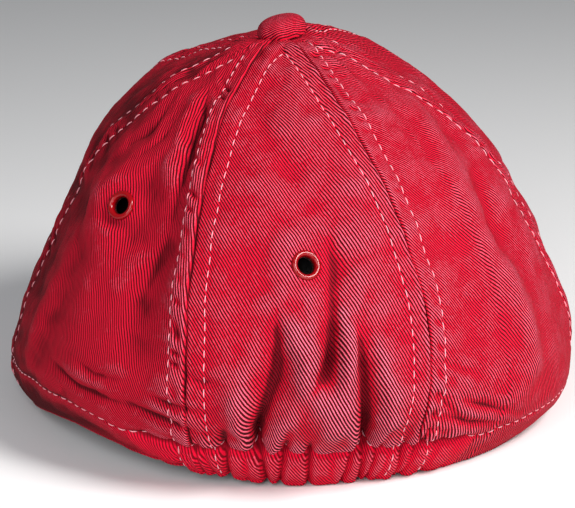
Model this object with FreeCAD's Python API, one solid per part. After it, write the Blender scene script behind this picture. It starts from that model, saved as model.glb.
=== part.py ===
"""Baseball-style bump cap: a six-panel twill cover with an elasticated back and a peak, over a hard shell
insert with foam pads. One STEP file is written for each sub-part.

Frame, in millimetres: +Z up, +Y towards the peak, +X to the wearer's right. The origin is the middle of the
cap's footprint, on the plane that it stands on. The model is drawn about the crown's own upright axis, which
passes through the button, and is moved into that frame as it is written out.

A bearing is an angle about the crown's axis, measured from the back of the cap (-Y) towards +X, so the back
is 0, the right side 90 and the peak 180 degrees.
"""
import FreeCAD, Part
import math
import os

from FreeCAD import Matrix, Vector

# ---------------------------------------------------------------- driving dimensions
AXIS_AT = Vector(-3.4, -42.83, 0.0)  # the crown's axis, from the middle of the footprint
FABRIC = 1.4                         # twill with its backing
GAP = 0.3                            # between pieces that move past each other
APEX_Z = 134.7                       # outside of the crown under the button
APEX_HOLE_R = 2.0                    # hole for the button's post
UNDER = 1.0                          # how far the back hem is drawn below the floor before it is trimmed

# The crown's outer skin, from the hem to the button, as rings of control points.
# Each ring: height at the back, the sides and the front, then its reach to the back, right, left and front.
CROWN_RINGS = [
    (-UNDER, -UNDER, 20.0, 81.0, 89.0, 86.0, 115.5),
    (4.5, 1.0, 26.0, 82.5, 98.0, 92.0, 116.0),
    (13.0, 7.0, 33.0, 87.0, 103.0, 96.5, 117.0),
    (24.0, 17.5, 42.0, 101.0, 104.0, 97.0, 118.0),
    (47.0, 39.0, 57.0, 102.5, 100.0, 90.5, 118.0),
    (75.0, 67.0, 82.0, 91.0, 88.5, 76.0, 113.0),
    (102.0, 95.0, 111.0, 71.0, 73.5, 65.0, 90.0),
    (121.5, 116.5, 132.0, 40.0, 47.0, 46.0, 54.0),
    (131.5, 131.0, 135.0, 13.0, 15.0, 15.5, 19.0),
    (APEX_Z, APEX_Z, APEX_Z, APEX_HOLE_R, APEX_HOLE_R, APEX_HOLE_R, APEX_HOLE_R),
]
SQUARENESS = 2.12                    # exponent of the rings' outline: 2 is an ellipse
HEM_RISE_FROM = 92.0                 # bearing where the hem starts to rise towards the peak

# Seams as bearings. Four of them wander as the cloth settles, so each has a bearing for every ring.
SEAMS = {"back_right": 24.0, "right": 90.0, "front_right": 150.0,
         "front_left": 210.0, "left": 270.0, "back_left": 336.0}
SETTLED_SEAMS = {
    "back_right": [27.0, 25.0, 22.5, 21.0, 22.8, 23.5, 20.5, 18.5, 17.0, 17.0],
    "right": [90.0, 90.0, 89.0, 86.0, 82.0, 79.0, 78.0, 75.0, 73.0, 73.0],
    "left": [270.0, 270.0, 270.0, 269.0, 268.0, 267.0, 267.0, 286.0, 298.0, 298.0],
    "back_left": [-23.5, -23.5, -23.0, -22.5, -22.3, -23.8, -25.5, -29.0, -32.0, -32.0],
}
PANELS = {
    "rear_panel": ("back_left", "back_right"),
    "right_rear_panel": ("back_right", "right"),
    "right_front_panel": ("right", "front_right"),
    "front_panel": ("front_right", "front_left"),
    "left_front_panel": ("front_left", "left"),
    "left_rear_panel": ("left", "back_left"),
}
POLES_ACROSS = 8

CASING_HALF = 52.0                   # half the length of the gathered back casing
CASING_HEIGHT = 15.0
ELASTIC = 1.1                        # thickness of the elastic
ELASTIC_WIDTH = 12.0
CASING_DEPTH = 2 * FABRIC + ELASTIC  # casing from face to face

LINING_GAP = 0.6                     # between the panels and the narrow pieces inside them
TAPE_WIDTH = 10.0
TAPE = 0.4
TAPE_HEIGHTS = (16.0, 122.0)
STIFFENER = 0.6
STIFFENER_HEIGHTS = (24.0, 100.0)
BAND_HEIGHT = 26.0                   # sweatband
BAND = 1.6
BAND_INSET = FABRIC + 1.0            # sweatband's outer face, from the hem's outer skin
BAND_FROM = 52.0                     # bearing of the sweatband's two ends
LABEL_WIDTH_DEG = 16.0
LABEL_HEIGHTS = (16.5, 46.0)

EYELET_R = 5.0                       # flange
EYELET_HOLE_R = 3.0
EYELET_BARREL = 0.35
EYELET_FLANGE = 1.2
EYELETS = {"rear_eyelet": ("rear_panel", 0.588, 0.49), "left_rear_eyelet": ("left_rear_panel", 0.657, 0.635)}

BUTTON_R = 8.7
BUTTON_HEIGHT = 6.4
BUTTON_SKIN = 0.8
RIVET_R = 4.5
RIVET_BACK = 0.8
RIVET_DROP = 2.8                     # top of the rivet's back, below the top of the crown
CROWN_FALL = 0.2                     # how far the button's underside falls from its middle to its rim

PEAK_REACH = 72.0                    # peak's length beyond the hem at the middle
PEAK_HALF_BEARING = 50.0             # half the stretch of hem that the peak is sewn to
PEAK_TUCK = 3.0                      # how far the peak's root reaches in under the hem
HEM_TOUCH = 0.15                     # between the hem and the top of the peak
PEAK_COVER = 0.9
PEAK_BOARD = 1.8
PEAK_CORNER = 5.0                    # width left at the peak's corners
PEAK_EDGE_Z = 4.4                    # top of the peak at its corners
PEAK_TIP_Z = 17.0                    # top of the peak at its tip

# Hard shell: an ellipsoid dome about its own middle.
SHELL_MIDDLE = Vector(0.0, 16.5, 33.0)
SHELL_SEMI = Vector(79.0, 91.5, 93.0)
SHELL = 2.0
SHELL_RIM_Z = 28.0
SHELL_EAR_CUT = 34.0                 # radius of the arch cut over each ear
PAD = 5.0
PAD_GAP = 0.05
VENT_LENGTH = 22.0
VENT_WIDTH = 5.0


# ---------------------------------------------------------------- small helpers
def smooth(x):
    """0 to 1 with flat ends."""
    x = max(0.0, min(1.0, x))
    return x * x * (3.0 - 2.0 * x)


def from_back(bearing):
    """How far a bearing is from the back, 0 to 180, on either side."""
    b = abs(bearing) % 360.0
    return 360.0 - b if b > 180.0 else b


def direction(bearing):
    b = math.radians(bearing)
    return Vector(math.sin(b), -math.cos(b), 0.0)


def box(x, y, z):
    """Block between two limits along each axis."""
    corner = Vector(x[0], y[0], z[0])
    return Part.makeBox(x[1] - x[0], y[1] - y[0], z[1] - z[0], corner)


def largest(shape):
    """The biggest solid of a shape, without the slivers that a trim leaves."""
    return max(shape.Solids, key=lambda s: s.Volume)


# ---------------------------------------------------------------- the crown's skin
def ring_reach(ring, bearing):
    """Distance from the crown's axis to a ring's oval outline along a bearing."""
    back, right, left, front = ring[3:]
    half = (front + back) / 2.0
    middle = front - half
    way = direction(bearing)
    side = right if way.x > 0.0 else left
    low, high = 0.0, 3.0 * (side + half)
    for _ in range(50):
        r = (low + high) / 2.0
        across, along = abs(way.x) * r / side, abs(way.y * r - middle) / half
        inside = across ** SQUARENESS + along ** SQUARENESS < 1.0
        low, high = (r, high) if inside else (low, r)
    return low


def hem_height(bearing):
    rise = CROWN_RINGS[0][2] + UNDER
    return rise * smooth((from_back(bearing) - HEM_RISE_FROM) / (180.0 - HEM_RISE_FROM)) - UNDER


def ring_height(row, bearing):
    if row == 0:
        return hem_height(bearing)
    back, side, front = CROWN_RINGS[row][:3]
    b = from_back(bearing)
    if b <= 90.0:
        return back + (side - back) * smooth(b / 90.0)
    return side + (front - side) * smooth((b - 90.0) / 90.0)


def crown_point(row, bearing):
    return direction(bearing) * ring_reach(CROWN_RINGS[row], bearing) + Vector(0, 0, ring_height(row, bearing))


def crown_inward(row, bearing):
    """Unit vector into the crown: level at the hem and straight down at the button."""
    out = direction(bearing)
    if row == 0:
        return out * -1.0
    if row == len(CROWN_RINGS) - 1:
        return Vector(0.0, 0.0, -1.0)
    along = crown_point(row + 1, bearing) - crown_point(row - 1, bearing)
    around = crown_point(row, bearing + 1.0) - crown_point(row, bearing - 1.0)
    n = along.cross(around)
    n.normalize()
    return n if n.dot(out) < 0.0 else n * -1.0


def seam_bearing(seam, row):
    return SETTLED_SEAMS[seam][row] if seam in SETTLED_SEAMS else SEAMS[seam]


def panel_edges(name):
    """The function that gives a panel's two edges, as bearings, on each ring."""
    first, last = PANELS[name]

    def edges(row):
        a, b = seam_bearing(first, row), seam_bearing(last, row)
        return (a - 360.0, b) if a > b else (a, b)

    return edges


def strip_edges(seam, width):
    """Edges of a strip of one width that follows a seam."""
    def edges(row):
        half = math.degrees(width / 2.0 / ring_reach(CROWN_RINGS[row], SEAMS[seam]))
        middle = seam_bearing(seam, row)
        return middle - half, middle + half

    return edges


def crown_grid(edges, rows, depth, across=POLES_ACROSS):
    grid = []
    for row in rows:
        first, last = edges(row)
        bearings = [first + (last - first) * i / (across - 1) for i in range(across)]
        grid.append([crown_point(row, b) + crown_inward(row, b) * depth for b in bearings])
    return grid


# ---------------------------------------------------------------- sheets from grids of control points
def clamped(count, degree=3):
    """Knots and multiplicities of a clamped, evenly spaced spline with this many control points."""
    spans = count - degree
    knots = [float(i) for i in range(spans + 1)]
    return knots, [degree + 1] + [1] * (spans - 1) + [degree + 1]


def spline_surface(grid):
    uk, um = clamped(len(grid))
    vk, vm = clamped(len(grid[0]))
    surface = Part.BSplineSurface()
    surface.buildFromPolesMultsKnots(grid, um, vm, uk, vk, False, False, 3, 3)
    return surface


def spline_edge(points):
    k, m = clamped(len(points))
    curve = Part.BSplineCurve()
    curve.buildFromPolesMultsKnots(points, m, k, False, 3)
    return curve.toShape()


def sheet_solid(outer, inner):
    """A closed sheet between two grids of control points of the same size."""
    def column(grid, j):
        return [line[j] for line in grid]

    rims = [
        (outer[0], inner[0]),
        (outer[-1], inner[-1]),
        (column(outer, 0), column(inner, 0)),
        (column(outer, -1), column(inner, -1)),
    ]
    faces = [spline_surface(outer).toShape(), spline_surface(inner).toShape()]
    faces += [Part.makeRuledSurface(spline_edge(a), spline_edge(b)) for a, b in rims]
    shell = Part.Shell(faces)
    shell.sewShape()
    solid = Part.Solid(shell)
    if solid.Volume < 0:
        solid.reverse()
    return solid


def crown_sheet(edges, rows, outer_depth, inner_depth, across=POLES_ACROSS):
    """A sheet of the crown from outer_depth to inner_depth under its outer skin."""
    outer = crown_grid(edges, rows, outer_depth, across)
    return sheet_solid(outer, crown_grid(edges, rows, inner_depth, across))


# ---------------------------------------------------------------- cover: panels and what is sewn inside
def all_rows():
    return range(len(CROWN_RINGS))


def floor_block():
    return box((-300, 300), (-300, 300), (-40, 0))


def casing_notch():
    """The space that the gathered casing takes from the foot of the back panels."""
    half = CASING_HALF + GAP
    return box((-half, half), (-200, -30), (-40, CASING_HEIGHT + GAP))


def eyelet_place(name):
    """Point and outward normal of the skin where an eyelet sits."""
    panel, up, across = EYELETS[name]
    surface = spline_surface(crown_grid(panel_edges(panel), all_rows(), 0.0))
    u0, u1, v0, v1 = surface.bounds()
    u, v = u0 + (u1 - u0) * up, v0 + (v1 - v0) * across
    point, normal = surface.value(u, v), surface.normal(u, v)
    return point, normal if normal.dot(Vector(point.x, point.y, 0)) > 0 else normal * -1.0


def make_panels():
    made = {}
    for name in PANELS:
        panel = crown_sheet(panel_edges(name), all_rows(), 0.0, FABRIC).cut(floor_block())
        if "rear" in name:
            panel = panel.cut(casing_notch())
        made[name] = largest(panel)
    for name, (panel, _, _) in EYELETS.items():
        point, normal = eyelet_place(name)
        drill = Part.makeCylinder(EYELET_HOLE_R + EYELET_BARREL, 20.0, point - normal * 10.0, normal)
        made[panel] = largest(made[panel].cut(drill))
    return made


def make_eyelets():
    """Turned two-part eyelets: a rolled flange with a barrel outside, and a washer inside."""
    made = {}
    for name in EYELETS:
        point, normal = eyelet_place(name)
        barrel_r = EYELET_HOLE_R + EYELET_BARREL
        barrel = Part.makeCylinder(barrel_r, FABRIC + EYELET_BARREL, point - normal * (FABRIC + 0.3), normal)
        flange = Part.makeCylinder(EYELET_R, EYELET_FLANGE, point + normal * 0.05, normal)
        flange = flange.makeFillet(EYELET_FLANGE * 0.45, [max(flange.Edges, key=lambda e: e.CenterOfMass.dot(normal))])
        bore = Part.makeCylinder(EYELET_HOLE_R, 10.0, point - normal * 5.0, normal)
        made[name] = largest(flange.fuse(barrel).cut(bore))
        seat = point - normal * (FABRIC + 0.3)
        washer = Part.makeCylinder(EYELET_R - 0.3, 0.5, seat, normal * -1.0)
        made[name.replace("eyelet", "eyelet_washer")] = washer.cut(
            Part.makeCylinder(barrel_r, 10.0, point - normal * 5.0, normal))
    return made


def make_casing():
    """Back casing: two layers of twill round an elastic, gathered between its two ends."""
    def edges(_row):
        return -45.0, 45.0

    body = crown_sheet(edges, all_rows(), 0.0, CASING_DEPTH)
    window = box((-CASING_HALF, CASING_HALF), (-200, -30), (0, CASING_HEIGHT))
    low = (CASING_HEIGHT - ELASTIC_WIDTH) / 2.0
    channel = box((-CASING_HALF + 3, CASING_HALF - 3), (-200, -30), (low, low + ELASTIC_WIDTH))
    elastic = crown_sheet(edges, all_rows(), FABRIC, FABRIC + ELASTIC)
    elastic = largest(elastic.common(channel))
    casing = largest(body.common(window)).cut(elastic)
    return {"rear_casing": casing, "elastic_band": elastic}


def make_linings():
    """Tapes over the seams, the stiffener behind the front panel and a blank label, all inside the panels."""
    depth = FABRIC + LINING_GAP
    tapes = []
    for seam in SEAMS:
        tape = crown_sheet(strip_edges(seam, TAPE_WIDTH), all_rows(), depth, depth + TAPE)
        tapes.append(largest(tape.common(box((-300, 300), (-300, 300), TAPE_HEIGHTS))))

    def front(_row):
        return 154.5, 205.5

    def label(_row):
        return -LABEL_WIDTH_DEG / 2.0, LABEL_WIDTH_DEG / 2.0

    stiffener = crown_sheet(front, all_rows(), depth, depth + STIFFENER)
    label_sheet = crown_sheet(label, all_rows(), depth, depth + TAPE)
    return {
        "seam_tapes": Part.makeCompound(tapes),
        "front_stiffener": largest(stiffener.common(box((-90, 90), (0, 200), STIFFENER_HEIGHTS))),
        "care_label": largest(label_sheet.common(box((-60, 60), (-200, 0), LABEL_HEIGHTS))),
    }


def make_sweatband():
    """Upright band inside the sides and front of the hem, open at the back."""
    across = 15

    def grid(depth):
        lines = []
        for step in range(4):
            line = []
            for i in range(across):
                b = BAND_FROM + (360.0 - 2.0 * BAND_FROM) * i / (across - 1)
                reach = ring_reach(CROWN_RINGS[0], b) - depth
                height = hem_height(b) + UNDER + BAND_HEIGHT * step / 3.0
                line.append(direction(b) * reach + Vector(0, 0, height))
            lines.append(line)
        return lines

    return {"sweatband": sheet_solid(grid(BAND_INSET), grid(BAND_INSET + BAND))}


def button_dome(rim, foot, top):
    """A dome turned about the crown's axis, whose underside follows the fall of the crown."""
    edge_z = foot - CROWN_FALL
    turns = [math.radians(15.0 * k) for k in range(7)]
    outline = [Vector(rim * math.cos(a) ** 0.75, 0, edge_z + (top - edge_z) * math.sin(a) ** 0.85) for a in turns]
    outline[-1] = Vector(0, 0, top)
    curve = Part.BSplineCurve()
    curve.interpolate(outline)
    sides = [Part.makeLine(Vector(0, 0, foot), outline[0]), curve.toShape(), Part.makeLine(outline[-1], Vector(0, 0, foot))]
    return Part.Face(Part.Wire(sides)).revolve(Vector(0, 0, 0), Vector(0, 0, 1), 360)


def make_button():
    """Covered button: a domed core, its twill skin, and a rivet through the top of the crown."""
    foot, top = APEX_Z + GAP, APEX_Z + GAP + BUTTON_HEIGHT
    whole = button_dome(BUTTON_R, foot, top)
    core = button_dome(BUTTON_R - BUTTON_SKIN, foot + BUTTON_SKIN, top - BUTTON_SKIN)
    inside_z = APEX_Z - RIVET_DROP - RIVET_BACK
    post = Part.makeCylinder(APEX_HOLE_R - 0.15, foot + 2.5 - inside_z, Vector(0, 0, inside_z))
    rivet = post.fuse(Part.makeCylinder(RIVET_R, RIVET_BACK, Vector(0, 0, inside_z))).removeSplitter()
    return {
        "button_cover": largest(whole.cut(core).cut(rivet)),
        "button_core": largest(core.cut(rivet)),
        "button_rivet": rivet,
    }


# ---------------------------------------------------------------- peak
def peak_grid(fall):
    """Control points of one of the peak's surfaces, fall below its top, from its root to its edge."""
    across, out = 13, 7
    grid = []
    for j in range(out):
        t = j / (out - 1.0)
        line = []
        for i in range(across):
            s = 2.0 * i / (across - 1) - 1.0
            b = 180.0 + s * PEAK_HALF_BEARING
            reach = ring_reach(CROWN_RINGS[0], b)
            length = PEAK_CORNER + (PEAK_REACH - PEAK_CORNER) * (1.0 - abs(s) ** 2.6)
            root = direction(b) * (reach - PEAK_TUCK)
            way = Vector(root.x * 0.42, root.y, 0)
            way.normalize()
            place = root + way * ((length + PEAK_TUCK) * t)
            edge = PEAK_EDGE_Z + (PEAK_TIP_Z - PEAK_EDGE_Z) * (1.0 - s * s)
            under_hem = hem_height(b) - HEM_TOUCH
            height = under_hem + (edge - under_hem) * smooth(t)
            line.append(Vector(place.x, place.y, height - fall))
        grid.append(line)
    return grid


def make_peak():
    cover, board = PEAK_COVER, PEAK_BOARD
    return {
        "peak_top_cover": sheet_solid(peak_grid(0.0), peak_grid(cover)),
        "peak_board": sheet_solid(peak_grid(cover), peak_grid(cover + board)),
        "peak_under_cover": sheet_solid(peak_grid(cover + board), peak_grid(2 * cover + board)),
    }


# ---------------------------------------------------------------- insert
def ellipsoid(shrink):
    """The shell's ellipsoid, smaller all round by shrink."""
    scale = Matrix()
    scale.scale(Vector(SHELL_SEMI.x - shrink, SHELL_SEMI.y - shrink, SHELL_SEMI.z - shrink))
    shape = Part.makeSphere(1.0).transformGeometry(scale)
    return shape.translated(SHELL_MIDDLE)


def layer(outer, inner):
    return ellipsoid(outer).cut(ellipsoid(inner))


def make_shell():
    dome = layer(0.0, SHELL).cut(box((-300, 300), (-300, 300), (-200, SHELL_RIM_Z)))
    arch_at = Vector(-150, SHELL_MIDDLE.y - 6.0, SHELL_RIM_Z - 16.0)
    dome = dome.cut(Part.makeCylinder(SHELL_EAR_CUT, 300, arch_at, Vector(1, 0, 0)))
    for x in (-1, 1):
        for y in (-30.0, 0.0, 30.0):
            slot = box((-VENT_WIDTH / 2, VENT_WIDTH / 2), (-VENT_LENGTH / 2, VENT_LENGTH / 2), (0, 90))
            slot = slot.makeFillet(VENT_WIDTH / 2 - 0.01, [e for e in slot.Edges if abs(e.Length - 90) < 1e-6])
            slot.translate(Vector(x * 32.0, SHELL_MIDDLE.y + y, SHELL_MIDDLE.z + 30))
            dome = dome.cut(slot)
    return largest(dome)


def make_pads():
    foam = layer(SHELL + PAD_GAP, SHELL + PAD)
    y0 = SHELL_MIDDLE.y
    windows = {
        "crown_pad": Part.makeCylinder(30.0, 80.0, Vector(0, y0, 85)),
        "front_pad": box((-38, 38), (y0 + 20, 300), (48, 80)),
        "rear_pad": box((-32, 32), (-300, y0 - 20), (44, 74)),
        "right_pad": box((20, 300), (y0 - 22, y0 + 26), (54, 80)),
        "left_pad": box((-300, -20), (y0 - 22, y0 + 26), (54, 80)),
    }
    return {name: largest(foam.common(window)) for name, window in windows.items()}


# ---------------------------------------------------------------- the whole cap
def main():
    os.makedirs("parts", exist_ok=True)
    parts = {}
    for made in (make_panels(), make_casing(), make_linings(), make_sweatband(), make_eyelets(), make_button(),
                 make_peak(), {"hard_shell": make_shell()}, make_pads()):
        parts.update(made)
    whole = FreeCAD.BoundBox()
    for name, shape in parts.items():
        placed = shape.translated(AXIS_AT)
        placed.exportStep(f"parts/{name}.step")
        whole.add(placed.optimalBoundingBox(False))
        print(f"{name:24s} {len(placed.Solids)} {placed.isValid()} {placed.Volume:10.1f}")
    print("box", [round(v, 2) for v in (whole.XMin, whole.XMax, whole.YMin, whole.YMax, whole.ZMin, whole.ZMax)])


main()
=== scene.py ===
"""Looks of the bump cap: a soft red twill cover over a padded shell, seen from behind.

The cloth is built about the crown's own upright axis, in millimetres, from the outer skin of the CAD panels:
a bearing is an angle about that axis from the back of the cap towards +X, and s is the length along the cloth
from the hem up towards the button.
"""

import math
import random

import bmesh
import bpy
import numpy as np
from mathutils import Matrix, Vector
from mathutils.bvhtree import BVHTree


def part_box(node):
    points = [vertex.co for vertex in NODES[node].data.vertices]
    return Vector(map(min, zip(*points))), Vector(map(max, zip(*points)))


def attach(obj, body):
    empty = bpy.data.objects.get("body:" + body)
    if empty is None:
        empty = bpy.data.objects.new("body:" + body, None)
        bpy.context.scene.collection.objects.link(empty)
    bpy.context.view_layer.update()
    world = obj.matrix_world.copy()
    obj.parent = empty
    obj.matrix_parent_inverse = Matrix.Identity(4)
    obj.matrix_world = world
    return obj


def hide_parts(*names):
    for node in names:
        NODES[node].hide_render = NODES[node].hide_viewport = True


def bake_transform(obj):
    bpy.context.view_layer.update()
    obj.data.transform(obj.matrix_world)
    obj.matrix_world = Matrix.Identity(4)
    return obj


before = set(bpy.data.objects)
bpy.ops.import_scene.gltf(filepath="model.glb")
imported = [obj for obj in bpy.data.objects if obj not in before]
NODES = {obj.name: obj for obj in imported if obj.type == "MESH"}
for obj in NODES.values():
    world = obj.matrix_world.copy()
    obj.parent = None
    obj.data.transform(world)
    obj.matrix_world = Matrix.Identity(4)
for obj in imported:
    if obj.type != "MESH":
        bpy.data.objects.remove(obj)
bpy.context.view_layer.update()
MM = 0.001


def node_box(name):
    """A CAD node's lowest and highest corners in millimetres."""
    low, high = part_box(name)
    return np.array(low) / MM, np.array(high) / MM


AXIS = sum(node_box("button_rivet")) / 2.0 * np.array([1.0, 1.0, 0.0])
CENTRE = AXIS + np.array([0.0, 0.0, 42.0])  # inside the crown, in sight of all its skin

PANELS = ["rear_panel", "right_rear_panel", "right_front_panel", "front_panel", "left_front_panel",
          "left_rear_panel"]
SEAMS = ["back_right", "right", "front_right", "front_left", "left", "back_left"]
SEAM_GUESS = [24.0, 90.0, 150.0, 210.0, 270.0, 336.0]
SEAM_SPREAD = [14.0, 22.0, 14.0, 14.0, 36.0, 14.0]
SEAM_SLIPS = {"left": 5.5}  # degrees that a seam has slipped forward in its lower part
CLOTH = 1.2                 # thickness of the twill
HEM = 18.5                  # depth of the hem and the casing
HEM_THICK = 3.4             # the hem is the twill folded round its own edge
CASING_BEARING = 37.0       # where the gathered casing ends, each side of the back
ROW_OFFSET = 5.9            # topstitching from its seam
STITCH_PITCH = 4.3
STITCH_LENGTH = 2.9
TWILL_PITCH = 0.94          # from rib to rib
TWILL_LEAN = 30.0           # the ribs lean from each panel's middle line, anticlockwise from outside
HEM_REACH = 92.0            # usual reach of the hem from the axis, for turning bearings into lengths


# ---- numbers
def smooth(x):
    x = np.clip(x, 0.0, 1.0)
    return x * x * (3.0 - 2.0 * x)


def bump(x):
    """A bell of height 1 and width about 1."""
    return np.exp(-np.square(x))


def wobble(x, y, scale, seed):
    """Soft random waves about as long as scale, from -1 to 1."""
    rng = np.random.default_rng(seed)
    total = np.zeros(np.broadcast(x, y).shape)
    for _ in range(9):
        angle = rng.uniform(0.0, 2.0 * math.pi)
        k = 2.0 * math.pi / (scale * rng.uniform(0.7, 1.5))
        total = total + np.sin(k * (x * math.cos(angle) + y * math.sin(angle)) + rng.uniform(0.0, 6.3))
    return total / 4.5


def way(bearing):
    b = np.radians(bearing)
    return np.stack([np.sin(b), -np.cos(b), np.zeros_like(b)], axis=-1)


def signed(bearing):
    return np.mod(bearing + 180.0, 360.0) - 180.0


def unit(v):
    return v / (np.linalg.norm(v, axis=-1, keepdims=True) + 1e-12)


def reach_of(point):
    """How far points are from the crown's upright axis."""
    return np.linalg.norm((point - AXIS)[..., :2], axis=-1)


def run_along(line):
    """Lengths from the start of a line to each of its points."""
    return np.concatenate([[0.0], np.cumsum(np.linalg.norm(np.diff(line, axis=0), axis=1))])


def points_at(stops, run, line):
    """Values of a line at these lengths along it."""
    return np.stack([np.interp(stops, run, line[:, k]) for k in range(3)], -1)


# ---- the crown's base surface, from the CAD
def tree_of(names):
    verts, faces, owner = [], [], []
    for name in names:
        mesh = NODES[name].data
        start = len(verts)
        verts += [v.co / MM for v in mesh.vertices]
        faces += [[start + i for i in p.vertices] for p in mesh.polygons]
        owner += [name] * len(mesh.polygons)
    return BVHTree.FromPolygons(verts, faces), owner


CROWN_TREE, CROWN_OWNER = tree_of(PANELS + ["rear_casing"])
BEARING_STEP = 1.5
BEARINGS = np.arange(0.0, 360.0 + BEARING_STEP, BEARING_STEP)
STEPS = 240                 # points along each meridian of the table
RAYS = 110                  # rays that find the skin on each bearing
TOP_RISE = 88.4             # angle of the last ray, just beside the button
FAR = 300.0                 # rays start this far out


def skin_hit(bearing, rise):
    """Where a ray from outside towards the middle of the crown meets its skin, and which node it meets."""
    b, e = math.radians(bearing), math.radians(rise)
    out = Vector((math.sin(b) * math.cos(e), -math.cos(b) * math.cos(e), math.sin(e)))
    hit, _, face, _ = CROWN_TREE.ray_cast(Vector(CENTRE) + out * FAR, -out)
    if hit is None or (hit - Vector(CENTRE)).dot(out) < 10.0:
        return None, None
    return np.array(hit), CROWN_OWNER[face]


def lowest_rise(bearing):
    low, high = -70.0, 0.0
    for _ in range(18):
        middle = (low + high) / 2.0
        low, high = (low, middle) if skin_hit(bearing, middle)[0] is not None else (middle, high)
    return high + 0.15


def blurred(a, passes, wrap):
    """The array blurred along both axes. The first and last rows keep their place."""
    for _ in range(passes):
        ends = a[:, :1].copy(), a[:, -1:].copy()
        a = (np.roll(a, 1, 0) + 2.0 * a + np.roll(a, -1, 0)) / 4.0 if wrap else a
        inner = (a[:, :-2] + 2.0 * a[:, 1:-1] + a[:, 2:]) / 4.0
        a = np.concatenate([ends[0], inner, ends[1]], axis=1)
    return a


def measure_crown():
    """Points of the skin on each bearing, evenly spaced along the cloth from the hem to the top, and the
    length of cloth on each bearing."""
    table = np.zeros((len(BEARINGS) - 1, RAYS, 3))
    for i, bearing in enumerate(BEARINGS[:-1]):
        for k, rise in enumerate(np.linspace(lowest_rise(bearing), TOP_RISE, RAYS)):
            hit, _ = skin_hit(bearing, rise)
            table[i, k] = hit if hit is not None else table[i, k - 1]
    reach = np.linalg.norm(table - CENTRE, axis=2)
    usual = np.median([np.roll(reach, k, 1) for k in (-2, -1, 0, 1, 2)], axis=0)
    odd = (np.abs(reach - usual) > 1.5)[:, :, None]
    table = np.where(odd, CENTRE + (table - CENTRE) * (usual / reach)[:, :, None], table)
    table = blurred(table, 6, True)
    table = np.concatenate([table, table[:1]], axis=0)
    even = np.zeros((len(BEARINGS), STEPS + 1, 3))
    lengths = np.zeros(len(BEARINGS))
    for i in range(len(BEARINGS)):
        run = run_along(table[i])
        lengths[i] = run[-1]
        even[i] = points_at(np.linspace(0.0, run[-1], STEPS + 1), run, table[i])
    return even, lengths


BASE, LENGTHS = measure_crown()


def normals_of(table):
    along = np.gradient(table, axis=1)
    ring = table[:-1]
    around = np.roll(ring, -1, 0) - np.roll(ring, 1, 0)
    around = np.concatenate([around, around[:1]], axis=0)
    return unit(np.cross(around, along))


NORMALS = normals_of(BASE)


def look_up(table, bearing, share):
    """Values of a table at bearings in degrees and shares of the way up, between its points."""
    x = np.mod(bearing, 360.0) / BEARING_STEP
    y = np.clip(share, 0.0, 1.0) * STEPS
    i, k = np.floor(x).astype(int), np.minimum(np.floor(y).astype(int), STEPS - 1)
    i = np.clip(i, 0, len(BEARINGS) - 2)
    fx, fy = (x - i)[..., None], (y - k)[..., None]
    low = table[i, k] * (1 - fx) + table[i + 1, k] * fx
    high = table[i, k + 1] * (1 - fx) + table[i + 1, k + 1] * fx
    return low * (1 - fy) + high * fy


def cloth_length(bearing):
    return np.interp(np.mod(bearing, 360.0), BEARINGS, LENGTHS)


def base_point(bearing, s):
    return look_up(BASE, bearing, s / cloth_length(bearing))


def base_normal(bearing, s):
    return unit(look_up(NORMALS, bearing, s / cloth_length(bearing)))


# ---- where the seams run
def find_seams():
    """Bearing of each seam at shares of the way up the cloth, found where the CAD panels meet."""
    shares = np.linspace(0.13, 0.96, 34)
    found = {}
    for k, seam in enumerate(SEAMS):
        before = PANELS[k]
        line = []
        for share in shares:
            low, high = SEAM_GUESS[k] - SEAM_SPREAD[k], SEAM_GUESS[k] + SEAM_SPREAD[k]
            for _ in range(14):
                middle = (low + high) / 2.0
                point = look_up(BASE, np.array([middle]), np.array([share]))[0]
                _, _, face, _ = CROWN_TREE.find_nearest(Vector(point))
                low, high = (middle, high) if CROWN_OWNER[face] == before else (low, middle)
            line.append((low + high) / 2.0)
        line = np.array(line)
        for _ in range(2):
            line[1:-1] = (line[:-2] + 2.0 * line[1:-1] + line[2:]) / 4.0
        found[seam] = (shares, line - SEAM_SLIPS.get(seam, 0.0) * smooth(1.3 * (1.0 - shares)))
    return found


SEAM_LINES = find_seams()


def seam_bearing(seam, share):
    shares, line = SEAM_LINES[seam]
    return np.interp(share, shares, line)


def seam_distance(seam, bearing, s):
    """Signed distance in millimetres along the cloth from a seam, positive on the side of larger bearings."""
    away = signed(bearing - seam_bearing(seam, s / cloth_length(bearing)))
    return np.radians(away) * reach_of(base_point(bearing, s))


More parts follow.
